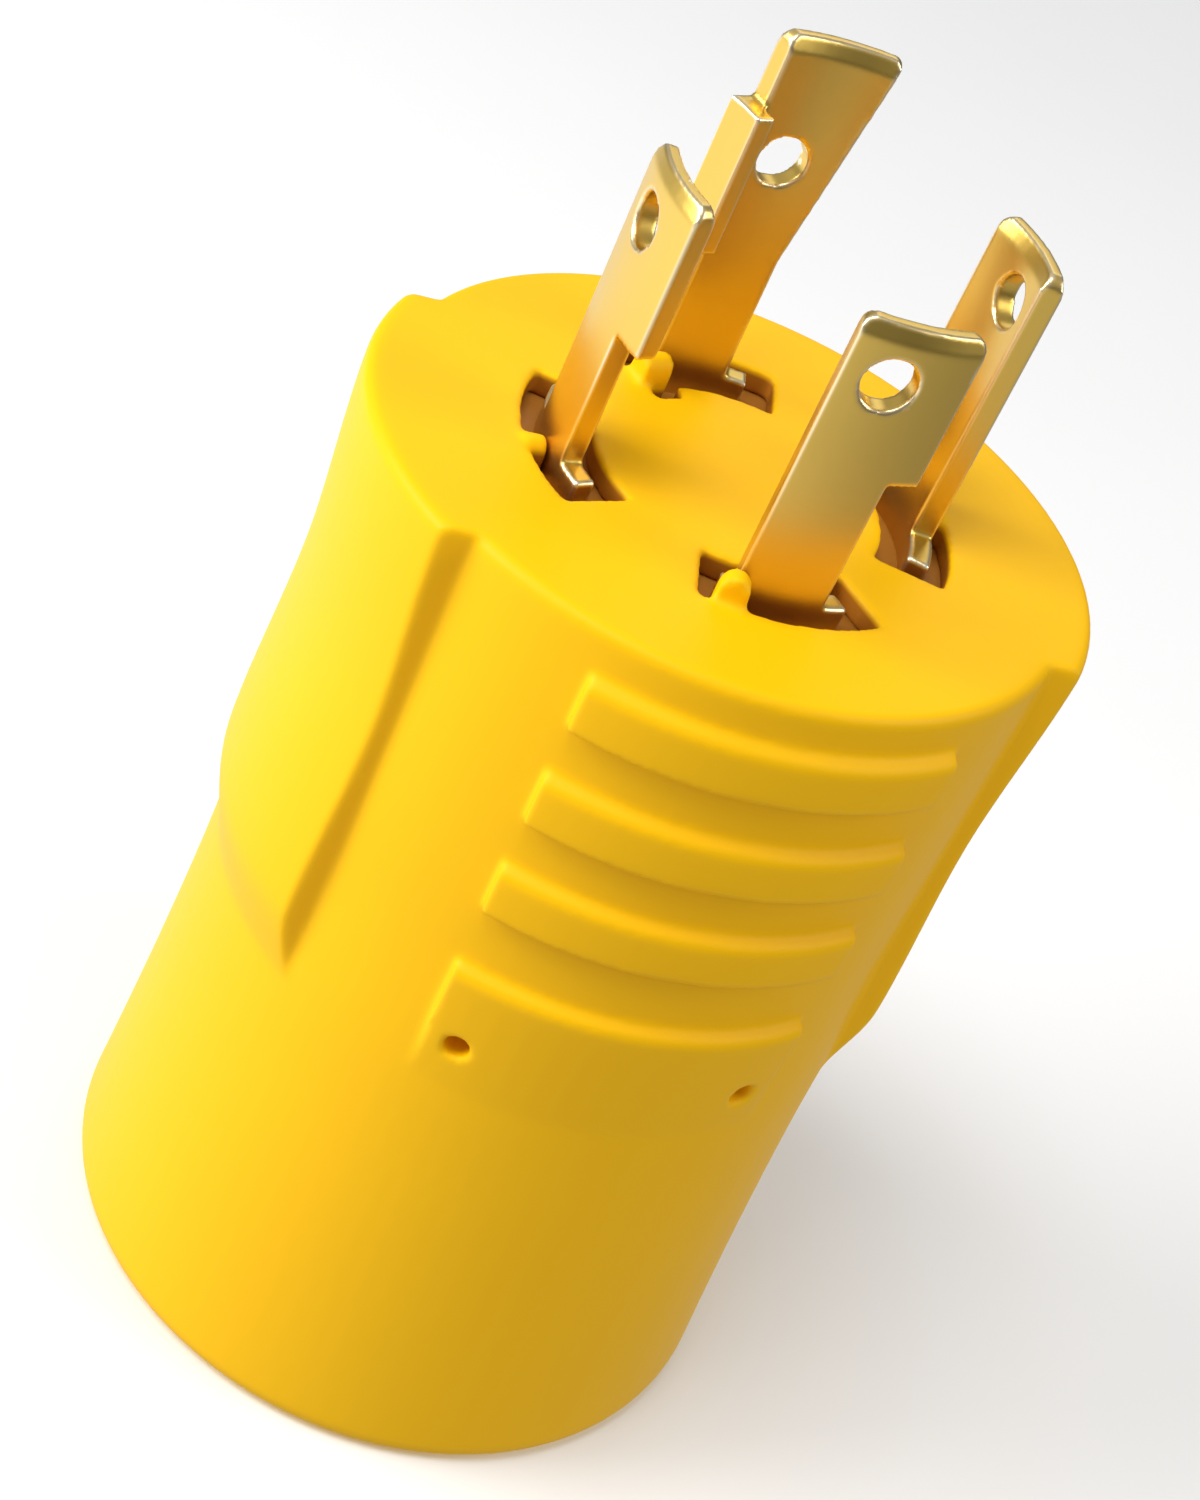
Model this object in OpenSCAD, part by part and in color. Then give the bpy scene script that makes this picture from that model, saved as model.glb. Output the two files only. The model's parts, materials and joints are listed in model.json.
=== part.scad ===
// Moulded adapter plug: a four-blade turn-to-lock plug at the top, a three-way receptacle at the foot.
// It stands on its receptacle end: +Z up the axis towards the blades, the grip ribs on -Y and +Y.

/* [Moulded body] */
// Height of the moulded body, from the receptacle end to the plug face
body_h = 76; // [72:1:90]
// Radius at the receptacle end
base_r = 27; // [26:0.5:32]
// Radius at the top of the plain lower body
waist_r = 25.4; // [25.2:0.1:26]
// Height of the plain lower body
waist_z = 34; // [31:1:36]
// How steeply the flare gathers towards the foot: 1 is a straight taper
foot_curve = 1.5; // [1:0.1:3]
// Radius of the recessed front and rear panels
panel_r = 25; // [23:0.1:25.2]
// Height at which the panels reach their full recess
panel_z = 49; // [45:1:56]
// Rounding of the rim at the receptacle end
rim_round = 1.6; // [0.5:0.1:3]
// Rounding of the edge of the plug face
face_round = 0.8; // [0.4:0.1:2]

/* [Side wings] */
// Width of each raised side wing, across the flats of its two step walls
wing_w = 28; // [16:1:34]
// Height where a wing's run-out meets the lower body
wing_end_z = 34; // [30:0.5:36]
// Height of a wing's fullest point
wing_full_z = 42; // [38:0.5:46]
// Radius at a wing's fullest point
wing_full_r = 26.8; // [26:0.1:28]
// Radius at a wing's slimmest point
wing_slim_r = 26.2; // [25.4:0.1:27]
// Radius of a wing at the plug face
wing_top_r = 26.9; // [25.4:0.1:28]

/* [Grip ribs] */
// Number of free ribs on each panel
rib_count = 3; // [1:1:3]
// Distance from one rib to the next
rib_pitch = 8.1; // [6:0.1:9]
// Height of one rib
rib_h = 4.2; // [2:0.1:5]
// Distance from the plug face down to the first rib
rib_drop = 3.3; // [2:0.1:6]
// Angle that a rib spans
rib_angle = 61; // [30:1:90]
// How far a rib stands out of the panel
rib_stand = 1; // [0.6:0.1:1.6]
// Rounding of a rib's upper edge
rib_round = 0.9; // [0.2:0.1:1]
// Height of the shoulder where the lower body ends below the ribs
shoulder_z = 47.3; // [44:0.1:49]

/* [Core pin marks] */
// Diameter of the small round marks that hold the inner parts during moulding
mark_d = 1.9; // [1:0.1:3]
// Depth of a mark
mark_depth = 3; // [1:0.5:4]
// Height of the marks
mark_z = 40.5; // [37:0.1:43]
// Angle of a mark from the middle of its panel
mark_angle = 25; // [10:1:30]

/* [Plug face slots] */
// Inner radius of the curved slots round the blades
slot_r_in = 10.7; // [9:0.1:12]
// Outer radius of the curved slots
slot_r_out = 15.9; // [15:0.1:17]
// Angle from a blade's middle line to the locking side's slot end, less the gap
slot_lock_angle = 21; // [18:1:24]
// Angle to the plain side's slot end of a line blade, less the gap
slot_line_angle = 21; // [18:1:24]
// Angle to the plain side's slot end of the neutral and ground blades, less the gap
slot_plain_angle = 13; // [12:1:20]
// Gap beyond those angles to the flat end walls of the slots
slot_gap = 2.2; // [1.4:0.1:2.6]
// Depth of the slots, down to the blade carrier
slot_depth = 2; // [1.5:0.5:6]
// Inner radius of the ground slot's hooked end
hook_r = 9.3; // [8:0.1:10]
// Angle that the hooked end spans
hook_angle = 14; // [8:1:20]
// Width of the rounded lugs that stand against the blades in the slots
lug_w = 2.2; // [1.2:0.1:3]
// Height of the lugs above the plug face
lug_h = 2.1; // [0.5:0.1:3]
// Height of the lugs of the line blades above the plug face
line_lug_h = 0.4; // [0.1:0.1:2]
// Clearance between a lug and its blade
lug_gap = 0.1; // [0.05:0.05:0.3]

/* [Blades] */
// Outer radius of the circle that the blades lie on
blade_r = 14.4; // [13.5:0.1:14.8]
// Thickness of the blade sheet
blade_t = 1.7; // [1:0.1:2.2]
// Length of the line and neutral blades above the plug face
line_len = 21.6; // [18:0.2:24]
// Angle from a line blade's middle line to its plain edge
line_plain_angle = 9.5; // [8:0.5:14]
// Angle to the edge of its neck, below the locking head
line_neck_angle = 15.5; // [11:0.5:18]
// Angle to the locking edge of its head
line_head_angle = 26.5; // [26:0.5:30]
// Angle to each end of its root
line_root_angle = 25; // [19:0.5:25.5]
// Angle to the hole through it
line_hole_angle = 5.5; // [2:0.5:10]
// Angle from the neutral blade's middle line to its plain edge
neutral_plain_angle = 13.5; // [10:0.5:15]
// Angle to the edge of its neck, below the locking head
neutral_neck_angle = 13; // [11:0.5:16]
// Angle to the locking edge of its head
neutral_head_angle = 22.7; // [21.7:0.1:28]
// Angle to the plain end of its root
neutral_root_angle = 17; // [16:0.5:20]
// Angle to the locking end of its root
neutral_lock_angle = 21; // [18:0.5:21.5]
// Height of the top of the locking notches above the plug face
notch_h = 10.4; // [6:0.2:12]
// Height of the flat steps of the roots above the plug face
step_h = 0.3; // [0.1:0.1:1.5]
// Diameter of the hole through a blade
hole_d = 3.7; // [2:0.1:4.5]
// Height of the hole above the plug face
hole_h = 17.5; // [15:0.1:18.4]
// Length of the coined bevel at a blade's tip
tip_bevel = 1.2; // [0.4:0.1:2]
// Thickness left at the very tip
tip_t = 0.9; // [0.5:0.1:1.4]
// Rounding of a blade's upper corners
tip_round = 1; // [0.2:0.1:2]

/* [Ground blade] */
// Length of the ground blade above the plug face
ground_len = 26.7; // [24:0.1:30]
// Angle from its middle line to its plain edge, at the tip
ground_plain_angle = 15; // [13:0.5:18]
// Angle to the plain end of its root
ground_root_angle = 12.5; // [8:0.5:12.5]
// Angle to the hole through it
ground_hole_angle = 8.5; // [4:0.5:11]
// Height at which its plain edge begins to flare
flare_h = 10; // [6:0.5:14]
// Angle that the plain edge is drawn in below the flare
flare_angle = 9.6; // [5:0.1:11]
// Height of the folded tab's upper end above the plug face
tab_top = 21.3; // [16:0.2:24]
// How far the folded tab reaches inwards from the blade's outer face
tab_reach = 3.1; // [2:0.1:3.8]
// Angle from its middle line to the fold of the tab
tab_angle = 23; // [21.5:0.5:26]

/* [Blade carrier] */
// Radius of the carrier that holds the blades
carrier_r = 18; // [17:0.5:20]
// Height of the carrier
carrier_h = 12; // [8:0.5:13]
// Radius of the flange that keys the carrier into the body
carrier_flange_r = 20; // [18.5:0.5:21]
// Thickness of that flange
carrier_flange_h = 3; // [1.5:0.5:4]

/* [Receptacle] */
// Radius of the receptacle insert
insert_r = 19.5; // [19:0.5:21]
// Height of the insert
insert_h = 23.4; // [20:0.2:24]
// How far the insert's face sits in from the end of the body
insert_recess = 0.6; // [0.2:0.1:2]
// Radius of the ridge that keys the insert into the body
insert_ridge_r = 21; // [20:0.5:22]
// Height of that ridge
insert_ridge_h = 4; // [2:0.5:6]
// Thickness of the insert's face wall
face_wall = 4.6; // [3:0.2:6]
// Length of a blade opening
way_len = 13.4; // [11:0.2:15]
// Width of a blade opening
way_w = 3; // [2.4:0.1:3.4]
// Distance of a blade opening's middle from the centre plane
way_x = 9.5; // [9:0.1:11]
// Distance of the blade openings in front of the axis
way_y = 3.5; // [2:0.1:5]
// Slant of each blade opening
way_slant = 30; // [20:1:35]
// Diameter of the round ground opening
ground_way_d = 7.4; // [6.5:0.1:8]
// Distance of the ground opening behind the axis
ground_way_y = 11; // [10.5:0.1:12]
// Thickness of the cover over the contact chambers
cover_h = 3; // [2:0.5:4]
// Depth of the cover's plugs in the chambers
plug_h = 2; // [1:0.5:3]

/* [Contacts and leads] */
// Thickness of the contact sheet
contact_t = 0.9; // [0.5:0.1:1.1]
// Length of a blade contact along its opening
contact_len = 12.4; // [9:0.2:13]
// Width across the outside of a blade contact's two leaves
contact_w = 5; // [4.6:0.1:5.6]
// Gap that is left where the leaves pinch together
contact_gap = 2.2; // [1.6:0.1:2.6]
// Height of the pinch above the floor of the chamber
pinch_h = 4; // [2:0.5:7]
// Clearance round the contacts in their chambers
chamber_gap = 0.3; // [0.1:0.1:0.6]
// Width of the slits that let the ground sleeve spring
slit_w = 0.9; // [0.5:0.1:1.4]
// Height of those slits
slit_h = 11; // [6:0.5:14]
// Diameter of a lead's bare conductor
wire_d = 2.6; // [1.6:0.1:3]
// Diameter of a lead's insulation, and of the crimped barrels
lead_d = 4.4; // [3.8:0.1:5]
// Length of the crimped barrels
barrel_h = 6; // [4:0.5:7]

/* [Hidden] */
$fn = 96;

// Angle of each blade round the axis
front_at = -90;
left_at = 180;
right_at = 0;
rear_at = 90;
panel_angles = [front_at, rear_at];

blade_in_r = blade_r - blade_t;
blade_mid_r = blade_r - blade_t / 2;
rib_r = panel_r + rib_stand;
carrier_top = body_h - slot_depth;
carrier_z = carrier_top - carrier_h;
root_z = carrier_z + blade_t / 2;
insert_top = insert_recess + insert_h;
chamber_z = insert_recess + face_wall;
plate_top = insert_top - plug_h;
plate_z = plate_top - contact_t;
cover_top = insert_top + cover_h;
low_barrel_top = cover_top + barrel_h;
high_barrel_top = carrier_z;
high_barrel_z = high_barrel_top - barrel_h;
sleeve_in_r = ground_way_d / 2;
sleeve_r = sleeve_in_r + contact_t;

// Angle by which the ground blade's root and neck stop short of the tab's fold
fold_set = 1;
// Angles of each blade's sheet from its middle line: root from and to, neck from and to
line_angles = [-line_root_angle, line_root_angle, -line_plain_angle, line_neck_angle];
neutral_angles = [-neutral_root_angle, neutral_lock_angle, -neutral_plain_angle, neutral_neck_angle];
ground_angles = [-ground_root_angle, tab_angle - fold_set, -ground_plain_angle, tab_angle - fold_set];
tab_to = tab_angle + blade_t / blade_mid_r * 180 / PI;

// Each blade's place round the axis, its angles and the angle of its slot's plain end
blades = [
    [left_at, line_angles, slot_line_angle],
    [right_at, line_angles, slot_line_angle],
    [front_at, neutral_angles, slot_plain_angle],
    [rear_at, ground_angles, slot_plain_angle]
];

// Shift of a blade contact's barrel along its opening, and the [x, y] of the three upright leads
barrel_shift = way_y / cos(way_slant);
line_spot = [-way_x - way_y * tan(way_slant), 0];
neutral_spot = [way_x - way_y * tan(way_slant), -2 * way_y];
ground_spot = [0, -line_spot[0]];
lead_spots = [line_spot, neutral_spot, ground_spot];

// Small overlap for cuts that break through a face, and the same as an angle
past = 0.5;
past_angle = 2;
// Share of a corner's radius that its cutter reaches in by
corner_reach = 0.97;
// How far a lug is rooted in its wall
lug_root = 0.2;
// Rim of a blade's tail round its barrel
tail_rim = 0.3;
// Spare angle on a slot before its flat end walls are cut
slot_spare = 25;
// How much smaller all round the folded tab is than the bend that it comes from
tab_ease = 0.04;
// How far inside the lower body a wing's run-out begins
run_in = 0.2;
// Steps in a blended profile and in a rounded corner
blend_steps = 10;
round_steps = 5;

function ease(t) = t * t * (3 - 2 * t);

// Points of an S-shaped blend from one [radius, height] to another
function blend(from, to) = [
    for (i = [0 : blend_steps])
        let (t = i / blend_steps)
        [from[0] + (to[0] - from[0]) * ease(t), from[1] + (to[1] - from[1]) * t]
];

// Points of the lower body's side, which flares towards the foot
function foot_flare() = [
    for (i = [1 : blend_steps - 1])
        let (t = 1 - i / blend_steps)
        [waist_r + (base_r - waist_r) * pow(t, foot_curve), waist_z + (rim_round - waist_z) * t]
];

// Points of an arc round a [radius, height] centre
function arc(centre, r, start, end) = [
    for (i = [0 : round_steps])
        let (a = start + (end - start) * i / round_steps)
        [centre[0] + r * cos(a), centre[1] + r * sin(a)]
];

// Part of a ring between two radii and two angles
module ring_sector(r_in, r_out, from, to, z, h) {
    translate([0, 0, z])
        rotate([0, 0, from])
            rotate_extrude(angle = to - from)
                translate([r_in, 0])
                    square([r_out - r_in, h]);
}

// Cylinder that points outwards from the axis
module radial_rod(a, z, d, r_from, r_to) {
    rotate([0, 0, a])
        translate([r_from, 0, z])
            rotate([0, 90, 0])
                cylinder(d = d, h = r_to - r_from);
}

// Turned core of the body: flared foot, waist and recessed upper part
module body_core() {
    rotate_extrude()
        polygon(concat(
            [[0, 0]],
            arc([base_r - rim_round, rim_round], rim_round, -90, 0),
            foot_flare(),
            blend([waist_r, waist_z], [panel_r, panel_z]),
            arc([panel_r - face_round, body_h - face_round], face_round, 0, 90),
            [[0, body_h]]
        ));
}

// Two raised side wings with S-shaped run-outs at their lower ends
module wings() {
    wing_mid_z = (wing_full_z + body_h) / 2;
    intersection() {
        rotate_extrude()
            polygon(concat(
                [[0, wing_end_z]],
                blend([waist_r - run_in, wing_end_z], [wing_full_r, wing_full_z]),
                blend([wing_full_r, wing_full_z], [wing_slim_r, wing_mid_z]),
                blend([wing_slim_r, wing_mid_z], [wing_top_r, body_h - face_round]),
                arc([wing_top_r - face_round, body_h - face_round], face_round, 0, 90),
                [[0, body_h]]
            ));
        translate([-2 * wing_full_r, -wing_w / 2, 0])
            cube([4 * wing_full_r, wing_w, body_h]);
    }
}

// Sector of a panel that stands out: [radius, height] of its lower edge, then a rounded upper edge
module raised_sector(at, low, z_high) {
    rotate([0, 0, at - rib_angle / 2])
        rotate_extrude(angle = rib_angle)
            polygon(concat(
                [[panel_r - rib_stand, low[1]], low],
                arc([rib_r - rib_round, z_high - rib_round], rib_round, 0, 90),
                [[panel_r - rib_stand, z_high]]
            ));
}

// Free ribs of one panel, and the shoulder that the lower body rises to below them
module panel_ribs(at) {
    for (i = [0 : rib_count - 1]) {
        rib_top = body_h - rib_drop - i * rib_pitch;
        raised_sector(at, [rib_r, rib_top - rib_h], rib_top);
    }
    raised_sector(at, [waist_r - run_in, waist_z], shoulder_z);
}

// Curved slot round one blade, down to the carrier, with flat end walls
module face_slot(blade) {
    from = blade[0] - blade[2];
    to = blade[0] + slot_lock_angle;
    wall_h = slot_depth + 3 * past;
    difference() {
        ring_sector(slot_r_in, slot_r_out, from - slot_spare, to + slot_spare,
            carrier_top, slot_depth + past);
        rotate([0, 0, to])
            translate([0, slot_gap, carrier_top - past])
                cube([slot_r_out + past, slot_r_out, wall_h]);
        rotate([0, 0, from])
            translate([0, -slot_gap - slot_r_out, carrier_top - past])
                cube([slot_r_out + past, slot_r_out, wall_h]);
    }
}

// Inward hook at the locking end of the ground slot
module hook_slot() {
    hook_end = rear_at + tab_to;
    ring_sector(hook_r, slot_r_in + past, hook_end - hook_angle, hook_end,
        carrier_top, slot_depth + past);
}

// Bar with a rounded top, as long as a lug reaches out from inside its wall
module lug_bar(reach, h) {
    rotate([90, 0, 90])
        linear_extrude(height = reach)
            polygon(concat(
                [[-lug_w / 2, 0], [lug_w / 2, 0]],
                arc([0, slot_depth + h - lug_w / 2], lug_w / 2, 0, 180)
            ));
}

// Lug on the outer wall of a slot, against the outside of its blade
module outer_lug(at, h) {
    rotate([0, 0, at])
        translate([blade_r + lug_gap, 0, carrier_top])
            lug_bar(slot_r_out + lug_root - blade_r - lug_gap, h);
}

// Lug on the end wall of the ground slot, against the inside of the blade's root
module end_lug() {
    rotate([0, 0, rear_at + slot_lock_angle])
        translate([blade_in_r - lug_gap - lug_w / 2, 0, carrier_top])
            rotate([0, 0, 90])
                lug_bar(slot_gap + lug_root, lug_h);
}

// Yellow outer moulding, in one piece round everything inside
module moulded_body() {
    color("#fcc419") {
        difference() {
            union() {
                body_core();
                wings();
                for (at = panel_angles)
                    panel_ribs(at);
            }
            for (blade = blades)
                face_slot(blade);
            hook_slot();
            for (at = panel_angles)
                for (side = [-1, 1])
                    radial_rod(at + side * mark_angle, mark_z, mark_d, rib_r - mark_depth, rib_r + past);
            carrier_solid();
            insert_solid(-past);
            cover_plate();
            for (spot = lead_spots)
                lead_rod(spot, cover_top, high_barrel_top, lead_d);
        }
        outer_lug(left_at + line_hole_angle, line_lug_h);
        outer_lug(right_at + line_hole_angle, line_lug_h);
        outer_lug(front_at - neutral_plain_angle, lug_h);
        end_lug();
    }
}

// Outside of the blade carrier
module carrier_solid() {
    translate([0, 0, carrier_z]) {
        cylinder(r = carrier_r, h = carrier_h);
        cylinder(r = carrier_flange_r, h = carrier_flange_h);
    }
}

// Carrier that holds the four blade roots
module blade_carrier() {
    color("#a8763a")
        difference() {
            carrier_solid();
            for (blade = blades)
                ring_sector(blade_in_r, blade_r, blade[0] + blade[1][0], blade[0] + blade[1][1],
                    root_z, carrier_top - root_z + past);
            blade_tail(left_at, line_spot, carrier_z - past);
            blade_tail(front_at, neutral_spot, carrier_z - past);
            blade_tail(rear_at, ground_spot, carrier_z - past);
        }
}

// Blade sheet between two angles, from its root in the carrier to a coined tip
module sheet(from, to, tip) {
    inset = (blade_t - tip_t) / 2;
    rotate([0, 0, from])
        rotate_extrude(angle = to - from)
            polygon([
                [blade_in_r, root_z],
                [blade_r, root_z],
                [blade_r, tip - tip_bevel],
                [blade_r - inset, tip],
                [blade_in_r + inset, tip],
                [blade_in_r, tip - tip_bevel]
            ]);
}

// Cutter that takes away a sheet between two angles and two heights
module sheet_cut(from, to, z_low, z_high) {
    ring_sector(blade_in_r - past, blade_r + past, from, to, z_low, z_high - z_low);
}

// Cutter that rounds an upper corner of a sheet: side is 1 on the locking side and -1 on the plain side
module corner_round(at, top, side, r) {
    reach = corner_reach * r;
    rotate([0, 0, at])
        translate([blade_in_r - past, 0, top - reach])
            difference() {
                translate([0, side > 0 ? -reach : -past, 0])
                    cube([blade_t + 2 * past, reach + past, reach + past]);
                translate([-past, -side * reach, 0])
                    rotate([0, 90, 0])
                        cylinder(r = r, h = blade_t + 4 * past);
            }
}

// Blade with a stepped root, a plain edge on one side and a locking notch on the other
module blade_blank(at, angles, head, tip) {
    sheet_from = at + min(angles[0], angles[2]);
    root_from = at + angles[0];
    neck_from = at + angles[2];
    head_to = at + head;
    clear_to = head_to + past_angle;
    difference() {
        sheet(sheet_from, head_to, tip);
        if (angles[0] < angles[2])
            sheet_cut(sheet_from - past_angle, neck_from, body_h + step_h, tip + past);
        else
            sheet_cut(sheet_from - past_angle, root_from, root_z - past, body_h + step_h + past);
        sheet_cut(at + angles[1], clear_to, root_z - past, body_h + notch_h - past);
        if (angles[3] < angles[1])
            sheet_cut(at + angles[3], clear_to, body_h + step_h, body_h + notch_h);
        corner_round(neck_from, tip, -1, tip_round);
        corner_round(head_to, tip, 1, tip_round);
    }
}

// Hole through the head of a blade
module blade_hole(at) {
    radial_rod(at, body_h + hole_h, hole_d, blade_in_r - past, blade_r + past);
}

// Upright rod at the place of one lead
module lead_rod(spot, z_low, z_high, d) {
    translate([spot[0], spot[1], z_low])
        cylinder(d = d, h = z_high - z_low);
}

// Tail of a blade, bent inwards in a groove across the carrier's underside to the top of its lead
module blade_tail(at, spot, z_low) {
    towards = [blade_r * cos(at), blade_r * sin(at)] - spot;
    tail_w = lead_d + 2 * tail_rim;
    intersection() {
        translate([spot[0], spot[1], z_low])
            rotate([0, 0, atan2(towards[1], towards[0])])
                translate([-tail_w / 2, -tail_w / 2, 0])
                    cube([blade_r, tail_w, carrier_z + blade_t - z_low]);
        translate([0, 0, carrier_z - 2 * past])
            cylinder(r = blade_r - tail_rim, h = carrier_h);
    }
}

// Bent tail with a crimped barrel, bored for the end of a lead
module wired_tail(at, spot) {
    color("#c9ab5f")
        difference() {
            union() {
                blade_tail(at, spot, carrier_z);
                lead_rod(spot, high_barrel_z, carrier_z + tail_rim, lead_d);
            }
            lead_rod(spot, high_barrel_z - past, high_barrel_top, wire_d);
        }
}

// Line blade
module line_blade(at) {
    color("#c9ab5f")
        difference() {
            blade_blank(at, line_angles, line_head_angle, body_h + line_len);
            blade_hole(at + line_hole_angle);
        }
}

// Left blade, wired to the line contact
module line_blade_x() {
    line_blade(left_at);
    wired_tail(left_at, line_spot);
}

// Right blade, which has no lead in a three-wire adapter
module line_blade_y() {
    line_blade(right_at);
}

// Front blade, wired to the neutral contact
module neutral_blade() {
    color("#c9ab5f")
        difference() {
            blade_blank(front_at, neutral_angles, neutral_head_angle, body_h + line_len);
            blade_hole(front_at);
        }
    wired_tail(front_at, neutral_spot);
}

// Wedge that draws in the ground blade's plain edge below its flare
module flare_cut(at) {
    drop = blade_mid_r * flare_angle * PI / 180;
    rotate([0, 0, at])
        rotate([0, 90, 0])
            linear_extrude(height = blade_r + past)
                polygon([
                    [-body_h - step_h, -drop],
                    [-body_h - step_h, drop],
                    [-body_h - flare_h, drop],
                    [-body_h - ground_len, 0],
                    [-body_h - ground_len, -drop]
                ]);
}

// Ground blade: longer, with one flared edge and a tab folded inwards on the locking side
module ground_blade() {
    neck_from = rear_at - ground_plain_angle;
    head_to = rear_at + tab_angle;
    tip = body_h + ground_len;
    color("#c9ab5f") {
        difference() {
            blade_blank(rear_at, ground_angles, tab_to, tip);
            sheet_cut(head_to, rear_at + tab_to + past_angle, body_h + tab_top, tip + past);
            corner_round(head_to, tip, 1, tip_round);
            flare_cut(neck_from);
            blade_hole(rear_at + ground_hole_angle);
        }
        rotate([0, 0, rear_at + (tab_angle + tab_to) / 2])
            translate([blade_r - tab_reach, tab_ease - blade_t / 2, body_h + notch_h + tab_ease])
                cube([tab_reach - blade_t / 2, blade_t - 2 * tab_ease, tab_top - notch_h - 2 * tab_ease]);
    }
    wired_tail(rear_at, ground_spot);
}

// Place of each blade opening in the receptacle: side -1 is line and 1 is neutral
module at_way(side) {
    translate([side * way_x, -way_y, 0])
        rotate([0, 0, -side * way_slant])
            children();
}

// Upright block, centred on the axis of its opening
module way_block(w, l, z, h) {
    translate([-w / 2, -l / 2, z])
        cube([w, l, h]);
}

// Outside of the receptacle insert, from a given height up
module insert_solid(foot) {
    translate([0, 0, foot])
        cylinder(r = insert_r, h = insert_top - foot);
    translate([0, 0, insert_top - insert_ridge_h])
        cylinder(r = insert_ridge_r, h = insert_ridge_h);
}

// Receptacle insert: two slanted blade openings and a round ground opening, with a chamber behind each
module receptacle_insert() {
    chamber_h = insert_top - chamber_z + past;
    chamber_w = contact_w + 2 * chamber_gap;
    chamber_len = contact_len + 2 * chamber_gap;
    color("#26262a")
        difference() {
            insert_solid(insert_recess);
            for (side = [-1, 1])
                at_way(side) {
                    way_block(way_w, way_len, insert_recess - past, face_wall + 2 * past);
                    way_block(chamber_w, max(chamber_len, way_len), chamber_z, chamber_h);
                }
            translate([0, ground_way_y, insert_recess - past])
                cylinder(d = ground_way_d, h = face_wall + 2 * past);
            translate([0, ground_way_y, chamber_z])
                cylinder(r = sleeve_r + chamber_gap, h = chamber_h);
        }
}

// Flat part of the cover over the chambers
module cover_plate() {
    translate([0, 0, insert_top])
        cylinder(r = insert_r, h = cover_h);
}

// Cover with a plug in each chamber and a hole for each contact's barrel
module contact_cover() {
    plug_len = contact_len / 2 + barrel_shift - lead_d / 2 - chamber_gap;
    color("#3a3a40")
        difference() {
            union() {
                cover_plate();
                for (side = [-1, 1])
                    at_way(side)
                        mirror([0, side > 0 ? 1 : 0, 0])
                            translate([-contact_w / 2, -contact_len / 2, plate_top])
                                cube([contact_w, plug_len, plug_h + past]);
                translate([0, ground_way_y, plate_top])
                    cylinder(r = sleeve_r, h = plug_h + past);
            }
            for (spot = lead_spots)
                lead_rod(spot, plate_top - past, cover_top + past, lead_d);
        }
}

// Barrel that rises from a contact through the cover, bored at its top for a lead
module contact_barrel(spot) {
    difference() {
        lead_rod(spot, plate_z, low_barrel_top, lead_d);
        lead_rod(spot, low_barrel_top - barrel_h, low_barrel_top + past, wire_d);
    }
}

// Folded blade contact: a top plate and two leaves that pinch together and flare at the mouth
module blade_contact(side, spot) {
    pinch_z = chamber_z + pinch_h;
    outer = contact_w / 2;
    pinch = contact_gap / 2;
    color("#d8b25a") {
        at_way(side) {
            way_block(contact_w, contact_len, plate_z, contact_t);
            for (face = [0, 1])
                mirror([face, 0, 0])
                    rotate([90, 0, 0])
                        linear_extrude(height = contact_len, center = true)
                            polygon([
                                [outer, plate_top],
                                [outer - contact_t, plate_top],
                                [outer - contact_t, plate_z - contact_t],
                                [pinch, pinch_z],
                                [outer - contact_t, chamber_z],
                                [outer, chamber_z],
                                [pinch + contact_t, pinch_z],
                                [outer, plate_z - contact_t]
                            ]);
        }
        contact_barrel(spot);
    }
}

// Contact for the line blade of a mating plug
module line_contact() {
    blade_contact(-1, line_spot);
}

// Contact for the neutral blade of a mating plug
module neutral_contact() {
    blade_contact(1, neutral_spot);
}

// Sprung sleeve for the round ground pin of a mating plug
module ground_contact() {
    sleeve_h = plate_top - chamber_z;
    color("#d8b25a") {
        translate([0, ground_way_y, 0])
            difference() {
                translate([0, 0, chamber_z])
                    cylinder(r = sleeve_r, h = sleeve_h);
                translate([0, 0, chamber_z - past])
                    cylinder(r = sleeve_in_r, h = sleeve_h - contact_t + past);
                for (turn = [0, 90])
                    rotate([0, 0, turn])
                        way_block(slit_w, 2 * sleeve_r + past, chamber_z - past, slit_h + past);
            }
        contact_barrel(ground_spot);
    }
}

// Bare conductor of a lead, from the bottom of one barrel to the top of the other
module conductor(spot) {
    color("#b8693a")
        lead_rod(spot, low_barrel_top - barrel_h, high_barrel_top, wire_d);
}

// Insulation of a lead, between its two barrels
module insulation(spot, tint) {
    color(tint)
        difference() {
            lead_rod(spot, low_barrel_top, high_barrel_z, lead_d);
            lead_rod(spot, low_barrel_top - past, high_barrel_z + past, wire_d);
        }
}

module line_conductor() {
    conductor(line_spot);
}

module neutral_conductor() {
    conductor(neutral_spot);
}

module ground_conductor() {
    conductor(ground_spot);
}

module line_insulation() {
    insulation(line_spot, "#1e1e1e");
}

module neutral_insulation() {
    insulation(neutral_spot, "#e8e8e4");
}

module ground_insulation() {
    insulation(ground_spot, "#2f8f3f");
}

moulded_body();
blade_carrier();
receptacle_insert();
contact_cover();
line_blade_x();
line_blade_y();
neutral_blade();
ground_blade();
line_contact();
neutral_contact();
ground_contact();
line_conductor();
neutral_conductor();
ground_conductor();
line_insulation();
neutral_insulation();
ground_insulation();
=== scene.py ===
import json
import math

import bpy
from mathutils import Matrix, Vector


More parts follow.
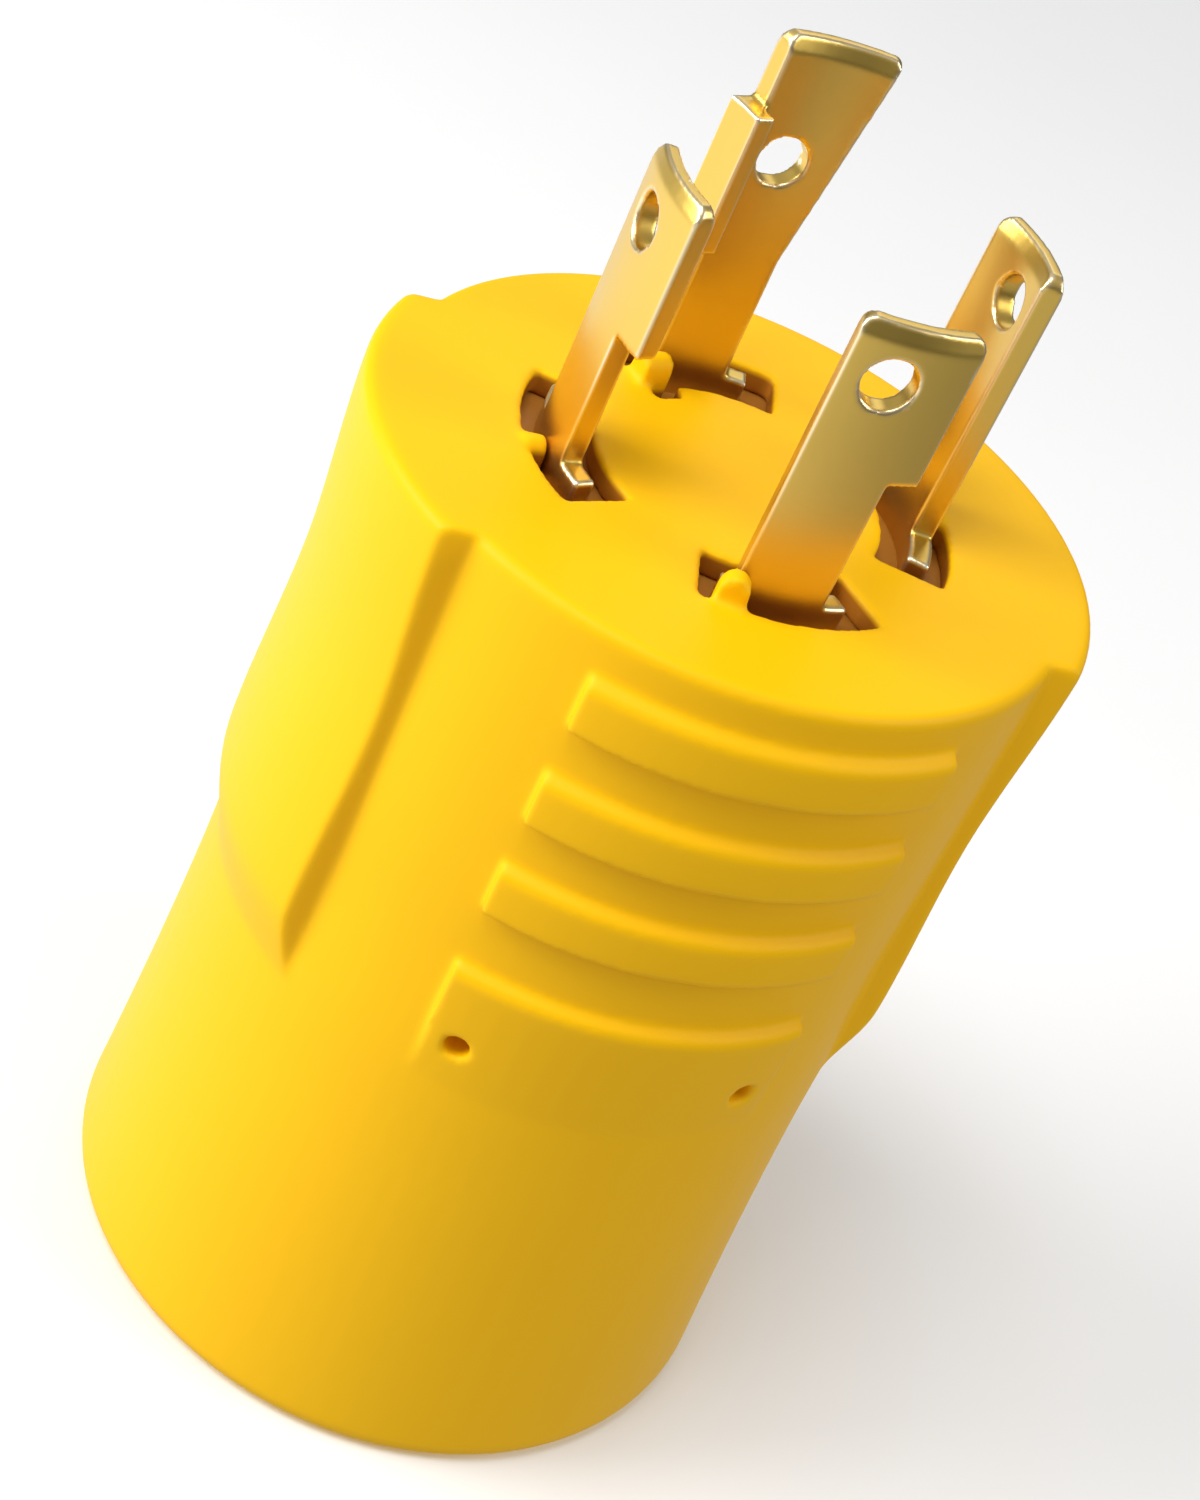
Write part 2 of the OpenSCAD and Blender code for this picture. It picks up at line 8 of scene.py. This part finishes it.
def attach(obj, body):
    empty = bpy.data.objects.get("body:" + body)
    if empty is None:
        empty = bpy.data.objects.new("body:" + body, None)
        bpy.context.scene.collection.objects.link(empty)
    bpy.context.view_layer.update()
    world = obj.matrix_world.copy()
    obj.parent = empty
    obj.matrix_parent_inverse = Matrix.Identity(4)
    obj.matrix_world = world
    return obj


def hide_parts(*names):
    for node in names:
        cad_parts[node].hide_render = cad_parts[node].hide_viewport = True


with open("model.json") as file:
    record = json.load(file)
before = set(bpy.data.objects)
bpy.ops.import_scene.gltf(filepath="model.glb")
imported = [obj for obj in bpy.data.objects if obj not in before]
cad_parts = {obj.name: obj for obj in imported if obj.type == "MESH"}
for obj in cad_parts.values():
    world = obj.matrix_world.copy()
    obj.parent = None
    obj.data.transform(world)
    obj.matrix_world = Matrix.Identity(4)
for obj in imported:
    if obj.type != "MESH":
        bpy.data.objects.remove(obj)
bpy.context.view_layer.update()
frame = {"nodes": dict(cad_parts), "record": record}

mm = 0.001
cadNodes = frame["nodes"]
mountPlaces = {mount["name"]: mount["pos_m"] for mount in frame["record"]["mounts"]}
faceHeight = mountPlaces["plug_blades"][2]
print("frame loaded:", len(cadNodes), "nodes, plug face at", faceHeight, "m")


# small helpers

def linearColour(hexText):
    parts = [int(hexText[i:i + 2], 16) / 255 for i in (1, 3, 5)]
    return [*(c / 12.92 if c <= 0.04045 else ((c + 0.055) / 1.055) ** 2.4 for c in parts), 1]


def addNode(tree, kind, settings=None, values=None, links=None):
    node = tree.nodes.new(kind)
    for name, value in (settings or {}).items():
        setattr(node, name, value)
    for name, value in (values or {}).items():
        node.inputs[name].default_value = value
    for name, source in (links or {}).items():
        tree.links.new(source, node.inputs[name])
    return node


def newFinish(name):
    finish = bpy.data.materials.new(name)
    finish.use_nodes = True
    return finish, finish.node_tree, finish.node_tree.nodes["Principled BSDF"]


def deselectAll():
    bpy.ops.object.select_all(action="DESELECT")


def pickOnly(piece):
    deselectAll()
    piece.select_set(True)
    bpy.context.view_layer.objects.active = piece


def applyModifier(piece, kind, **settings):
    pickOnly(piece)
    modifier = piece.modifiers.new(kind.lower(), kind)
    for name, value in settings.items():
        setattr(modifier, name, value)
    bpy.ops.object.modifier_apply(modifier=modifier.name)


def setFinish(piece, finish):
    piece.data.materials.clear()
    piece.data.materials.append(finish)


def triangleCount(piece):
    return sum(len(face.vertices) - 2 for face in piece.data.polygons)


# materials

def yellowPvc():
    # soft PVC from a polished mould: satin, evenly coloured, with a faint grain and cloudiness
    look = {"colour": "#FAC100", "cloud": "#F6BA00", "cloudMm": 26, "grainMm": 0.7, "grainDepthMm": 0.02,
            "grainStrength": 0.2, "smooth": 0.44, "rough": 0.54, "ior": 1.53, "specular": 0.15}
    # painted shade: the slot walls below the plug face are painted brown for the shade deep in the slot
    # pockets
    pocketShade = {"colour": "#A8691A", "fullMm": 0.6, "startMm": 0.15, "outMm": 17}
    finish, tree, shader = newFinish("yellowPvc")
    place = addNode(tree, "ShaderNodeTexCoord").outputs["Object"]
    cloud = addNode(tree, "ShaderNodeTexNoise", None,
                    {"Scale": 1 / (look["cloudMm"] * mm), "Detail": 3}, {"Vector": place})
    tint = addNode(tree, "ShaderNodeMix", {"data_type": "RGBA"},
                   {6: linearColour(look["colour"]), 7: linearColour(look["cloud"])},
                   {0: cloud.outputs["Fac"]})
    # painted shade mask: below the plug face, and within the ring of slots
    height = addNode(tree, "ShaderNodeSeparateXYZ", None, None, {"Vector": place})
    below = addNode(tree, "ShaderNodeMapRange", None,
                    {"From Min": faceHeight - pocketShade["fullMm"] * mm,
                     "From Max": faceHeight - pocketShade["startMm"] * mm,
                     "To Min": 1, "To Max": 0}, {"Value": height.outputs["Z"]})
    flat = addNode(tree, "ShaderNodeMapping", None, {"Scale": (1, 1, 0)}, {"Vector": place})
    radius = addNode(tree, "ShaderNodeVectorMath", {"operation": "LENGTH"}, None,
                     {0: flat.outputs["Vector"]})
    within = addNode(tree, "ShaderNodeMath", {"operation": "LESS_THAN"},
                     {1: pocketShade["outMm"] * mm}, {0: radius.outputs["Value"]})
    pocket = addNode(tree, "ShaderNodeMath", {"operation": "MULTIPLY"}, None,
                     {0: below.outputs["Result"], 1: within.outputs[0]})
    # painted shade: brown mixed over the yellow inside the slot pockets, darkest deepest down
    pocketShaded = addNode(tree, "ShaderNodeMix", {"data_type": "RGBA"}, {7: linearColour(pocketShade["colour"])},
                      {0: pocket.outputs[0], 6: tint.outputs[2]})
    grain = addNode(tree, "ShaderNodeTexNoise", None,
                    {"Scale": 1 / (look["grainMm"] * mm), "Detail": 2}, {"Vector": place})
    gloss = addNode(tree, "ShaderNodeMapRange", None,
                    {"To Min": look["smooth"], "To Max": look["rough"]}, {"Value": grain.outputs["Fac"]})
    bump = addNode(tree, "ShaderNodeBump", None,
                   {"Strength": look["grainStrength"], "Distance": look["grainDepthMm"] * mm},
                   {"Height": grain.outputs["Fac"]})
    shader.inputs["IOR"].default_value = look["ior"]
    shader.inputs["Specular IOR Level"].default_value = look["specular"]
    tree.links.new(pocketShaded.outputs[2], shader.inputs["Base Color"])
    tree.links.new(gloss.outputs["Result"], shader.inputs["Roughness"])
    tree.links.new(bump.outputs["Normal"], shader.inputs["Normal"])
    return finish


def sheetBrass(name, colour, edge, smooth, rough):
    # rolled strip or drawn wire, stamped and tumbled: bright metal with faint lines along it,
    # and convex edges painted paler, a painted highlight where they would catch the light
    look = {"lineMm": 0.35, "lineStretch": 0.04, "lineDepthMm": 0.004, "lineStrength": 0.15,
            "mottleMm": 5, "edgeFrom": 0.51, "edgeTo": 0.56}
    finish, tree, shader = newFinish(name)
    place = addNode(tree, "ShaderNodeTexCoord").outputs["Object"]
    along = addNode(tree, "ShaderNodeMapping", None,
                    {"Scale": (1, 1, look["lineStretch"])}, {"Vector": place})
    lines = addNode(tree, "ShaderNodeTexNoise", None,
                    {"Scale": 1 / (look["lineMm"] * mm), "Detail": 2}, {"Vector": along.outputs["Vector"]})
    mottle = addNode(tree, "ShaderNodeTexNoise", None,
                     {"Scale": 1 / (look["mottleMm"] * mm), "Detail": 4}, {"Vector": place})
    gloss = addNode(tree, "ShaderNodeMapRange", None,
                    {"To Min": smooth, "To Max": rough}, {"Value": mottle.outputs["Fac"]})
    bump = addNode(tree, "ShaderNodeBump", None,
                   {"Strength": look["lineStrength"], "Distance": look["lineDepthMm"] * mm},
                   {"Height": lines.outputs["Fac"]})
    # painted highlight: convex edges, found by pointiness, get the paler edge colour
    convex = addNode(tree, "ShaderNodeNewGeometry").outputs["Pointiness"]
    edgeHighlight = addNode(tree, "ShaderNodeMapRange", None,
                     {"From Min": look["edgeFrom"], "From Max": look["edgeTo"]}, {"Value": convex})
    tint = addNode(tree, "ShaderNodeMix", {"data_type": "RGBA"},
                   {6: linearColour(colour), 7: linearColour(edge)}, {0: edgeHighlight.outputs["Result"]})
    shader.inputs["Metallic"].default_value = 1
    tree.links.new(tint.outputs[2], shader.inputs["Base Color"])
    tree.links.new(gloss.outputs["Result"], shader.inputs["Roughness"])
    tree.links.new(bump.outputs["Normal"], shader.inputs["Normal"])
    return finish


def mouldedPlastic(name, colour, speck, speckMm, roughness):
    # filled engineering plastic or cable PVC: dull, with fine specks of filler
    look = {"speckDepthMm": 0.02, "speckStrength": 0.2}
    finish, tree, shader = newFinish(name)
    place = addNode(tree, "ShaderNodeTexCoord").outputs["Object"]
    grain = addNode(tree, "ShaderNodeTexNoise", None,
                    {"Scale": 1 / (speckMm * mm), "Detail": 4}, {"Vector": place})
    tint = addNode(tree, "ShaderNodeMix", {"data_type": "RGBA"},
                   {6: linearColour(colour), 7: linearColour(speck)}, {0: grain.outputs["Fac"]})
    bump = addNode(tree, "ShaderNodeBump", None,
                   {"Strength": look["speckStrength"], "Distance": look["speckDepthMm"] * mm},
                   {"Height": grain.outputs["Fac"]})
    shader.inputs["Roughness"].default_value = roughness
    tree.links.new(tint.outputs[2], shader.inputs["Base Color"])
    tree.links.new(bump.outputs["Normal"], shader.inputs["Normal"])
    return finish


bodyFinish = yellowPvc()
bladeFinish = sheetBrass("stampedBrass", "#DDBB5E", "#F6EBD2", 0.28, 0.38)
innerFinishes = {  # by the end of the node's name
    "blade_carrier": mouldedPlastic("brownNylon", "#A96C1C", "#B47824", 0.8, 0.6),
    "receptacle_insert": mouldedPlastic("blackPbt", "#1B1B1E", "#26262A", 0.5, 0.45),
    "contact_cover": mouldedPlastic("greyPbt", "#2B2B30", "#36363C", 0.5, 0.5),
    "contact": sheetBrass("springBrass", "#E3C47C", "#F4E9CC", 0.22, 0.34),
    "conductor": sheetBrass("bareCopper", "#D9906A", "#E8AE8E", 0.2, 0.3),
    "line_insulation": mouldedPlastic("blackCablePvc", "#151516", "#1E1E20", 0.4, 0.4),
    "neutral_insulation": mouldedPlastic("whiteCablePvc", "#E4E3DE", "#ECEBE6", 0.4, 0.4),
    "ground_insulation": mouldedPlastic("greenCablePvc", "#1E7A35", "#23863C", 0.4, 0.4),
}
for nodeName, node in cadNodes.items():
    for ending, finish in innerFinishes.items():
        if nodeName.endswith(ending):
            setFinish(node, finish)
print("materials made")


# pieces

def softenedCopy(nodeName, pieceName, soft):
    # a merged copy of the node, with its hard edges eased as moulding and stamping leave them
    piece = bpy.data.objects.new(pieceName, cadNodes[nodeName].data.copy())
    bpy.context.collection.objects.link(piece)
    pickOnly(piece)
    bpy.ops.object.mode_set(mode="EDIT")
    bpy.ops.mesh.select_all(action="SELECT")
    bpy.ops.mesh.remove_doubles(threshold=soft["mergeMm"] * mm)
    bpy.ops.object.mode_set(mode="OBJECT")
    applyModifier(piece, "REMESH", mode="VOXEL", voxel_size=soft["voxelMm"] * mm)
    applyModifier(piece, "SMOOTH", factor=soft["pull"], iterations=soft["rounds"])
    if soft["keep"] < 1:
        applyModifier(piece, "DECIMATE", decimate_type="COLLAPSE", ratio=soft["keep"])
    pickOnly(piece)
    bpy.ops.object.shade_smooth()
    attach(piece, "root")
    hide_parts(nodeName)
    print(pieceName, "made,", triangleCount(piece), "triangles")
    return piece


bodySoft = {"mergeMm": 0.002, "voxelMm": 0.26, "pull": 0.5, "rounds": 9, "keep": 0.2}
body = softenedCopy("moulded_body", "bodyMoulding", bodySoft)
setFinish(body, bodyFinish)

bladeSoft = {"mergeMm": 0.002, "voxelMm": 0.18, "pull": 0.5, "rounds": 4, "keep": 1}
bladePieces = {"line_blade_x": "leftLineBlade", "line_blade_y": "rightLineBlade",
               "neutral_blade": "neutralBladeSheet", "ground_blade": "groundBladeSheet"}
for nodeName, pieceName in bladePieces.items():
    blade = softenedCopy(nodeName, pieceName, bladeSoft)
    setFinish(blade, bladeFinish)


# stage, lights and camera

def paleFloor():
    # a round table top in matt paint, a little uneven in tone
    look = {"acrossM": 1.5, "rimSides": 128, "colour": "#F2F2F2", "shade": "#EFEFEF", "mottleMm": 60,
            "roughness": 0.8}
    deselectAll()
    bpy.ops.mesh.primitive_circle_add(vertices=look["rimSides"], radius=look["acrossM"] / 2,
                                      fill_type="NGON")
    floor = bpy.context.object
    floor.name = "studioFloor"
    finish, tree, shader = newFinish("paleFloorPaint")
    place = addNode(tree, "ShaderNodeTexCoord").outputs["Object"]
    mottle = addNode(tree, "ShaderNodeTexNoise", None,
                     {"Scale": 1 / (look["mottleMm"] * mm)}, {"Vector": place})
    tint = addNode(tree, "ShaderNodeMix", {"data_type": "RGBA"},
                   {6: linearColour(look["colour"]), 7: linearColour(look["shade"])},
                   {0: mottle.outputs["Fac"]})
    shader.inputs["Roughness"].default_value = look["roughness"]
    tree.links.new(tint.outputs[2], shader.inputs["Base Color"])
    setFinish(floor, finish)
    floor.visible_diffuse = False  # its bounce comes from the studio air instead
    floor.visible_glossy = False


def studioAir():
    # a pale table below, a dim room at eye level and a soft ceiling, brighter on the key's side;
    # levels run from straight down, 0, to straight up, 1
    air = {"levels": [(0, 0.35), (0.2, 1.03), (0.38, 0.88), (0.48, 0.12),
                      (0.55, 0.14), (0.65, 0.35), (1, 0.5)],
           "brightSide": (-1, 0.25, 0), "sideGain": 0.65, "backdrop": 0.95, "colour": "#FFFFFF"}
    world = bpy.data.worlds.new("studioAir")
    world.use_nodes = True
    bpy.context.scene.world = world
    tree = world.node_tree
    way = addNode(tree, "ShaderNodeTexCoord").outputs["Generated"]
    height = addNode(tree, "ShaderNodeSeparateXYZ", None, None, {"Vector": way})
    level = addNode(tree, "ShaderNodeMapRange", None, {"From Min": -1}, {"Value": height.outputs["Z"]})
    ramp = addNode(tree, "ShaderNodeValToRGB", None, None, {"Fac": level.outputs["Result"]})
    stops = ramp.color_ramp.elements
    for position, glow in air["levels"][1:-1]:
        stops.new(position)
    for stop, (position, glow) in zip(stops, air["levels"]):
        stop.position = position
        stop.color = (glow, glow, glow, 1)
    side = addNode(tree, "ShaderNodeVectorMath", {"operation": "DOT_PRODUCT"},
                   {1: air["brightSide"]}, {0: way})
    gain = addNode(tree, "ShaderNodeMath", {"operation": "MULTIPLY_ADD"},
                   {1: air["sideGain"], 2: 1}, {0: side.outputs["Value"]})
    strength = addNode(tree, "ShaderNodeMath", {"operation": "MULTIPLY"}, None,
                       {0: ramp.outputs["Color"], 1: gain.outputs[0]})
    path = addNode(tree, "ShaderNodeLightPath")
    seen = addNode(tree, "ShaderNodeMix", None, {3: air["backdrop"]},
                   {0: path.outputs["Is Camera Ray"], 2: strength.outputs[0]})
    background = tree.nodes["Background"]
    background.inputs["Color"].default_value = linearColour(air["colour"])
    tree.links.new(seen.outputs[0], background.inputs["Strength"])


def softbox(name, lamp):
    deselectAll()
    bpy.ops.object.light_add(type="AREA", location=lamp["place"])
    light = bpy.context.object
    light.name = name
    light.data.shape = "DISK"
    light.data.size = lamp["across"]
    light.data.energy = lamp["watts"]
    towards = Vector(lampAim) - Vector(lamp["place"])
    light.rotation_euler = towards.to_track_quat("-Z", "Y").to_euler()


lampAim = (0, 0, 0.05)
softboxes = {  # in metres and watts
    "keySoftbox": {"place": (-0.40, 0.03, 0.25), "across": 0.3, "watts": 1.85},
    "fillSoftbox": {"place": (0.80, -0.36, 0.60), "across": 0.7, "watts": 4.3},
    "topSoftbox": {"place": (-0.28, -0.18, 0.85), "across": 0.35, "watts": 2.5},
    "backSoftbox": {"place": (0.40, 0.90, 0.74), "across": 0.6, "watts": 1.0},
}
paleFloor()
studioAir()
for lampName, lamp in softboxes.items():
    softbox(lampName, lamp)

cameraView = {"placeMm": (-68.75, -154.59, 169.48), "aimMm": (-0.42, 0.34, 50.20), "rollDeg": 25.78,
              "lensMm": 67.17, "sensorMm": 36, "nearMm": 1, "farMm": 20000}
deselectAll()
bpy.ops.object.camera_add()
camera = bpy.context.object
camera.name = "photoCamera"
cameraPlace = Vector(cameraView["placeMm"]) * mm
cameraAim = Vector(cameraView["aimMm"]) * mm
turn = (cameraAim - cameraPlace).to_track_quat("-Z", "Y").to_matrix()
roll = Matrix.Rotation(math.radians(cameraView["rollDeg"]), 3, "Z")
camera.matrix_world = Matrix.Translation(cameraPlace) @ (turn @ roll).to_4x4()
camera.data.lens = cameraView["lensMm"]
camera.data.sensor_width = cameraView["sensorMm"]
camera.data.clip_start = cameraView["nearMm"] * mm
camera.data.clip_end = cameraView["farMm"] * mm
bpy.context.scene.camera = camera
bpy.context.scene.view_settings.view_transform = "Standard"
print("stage, lights and camera set")
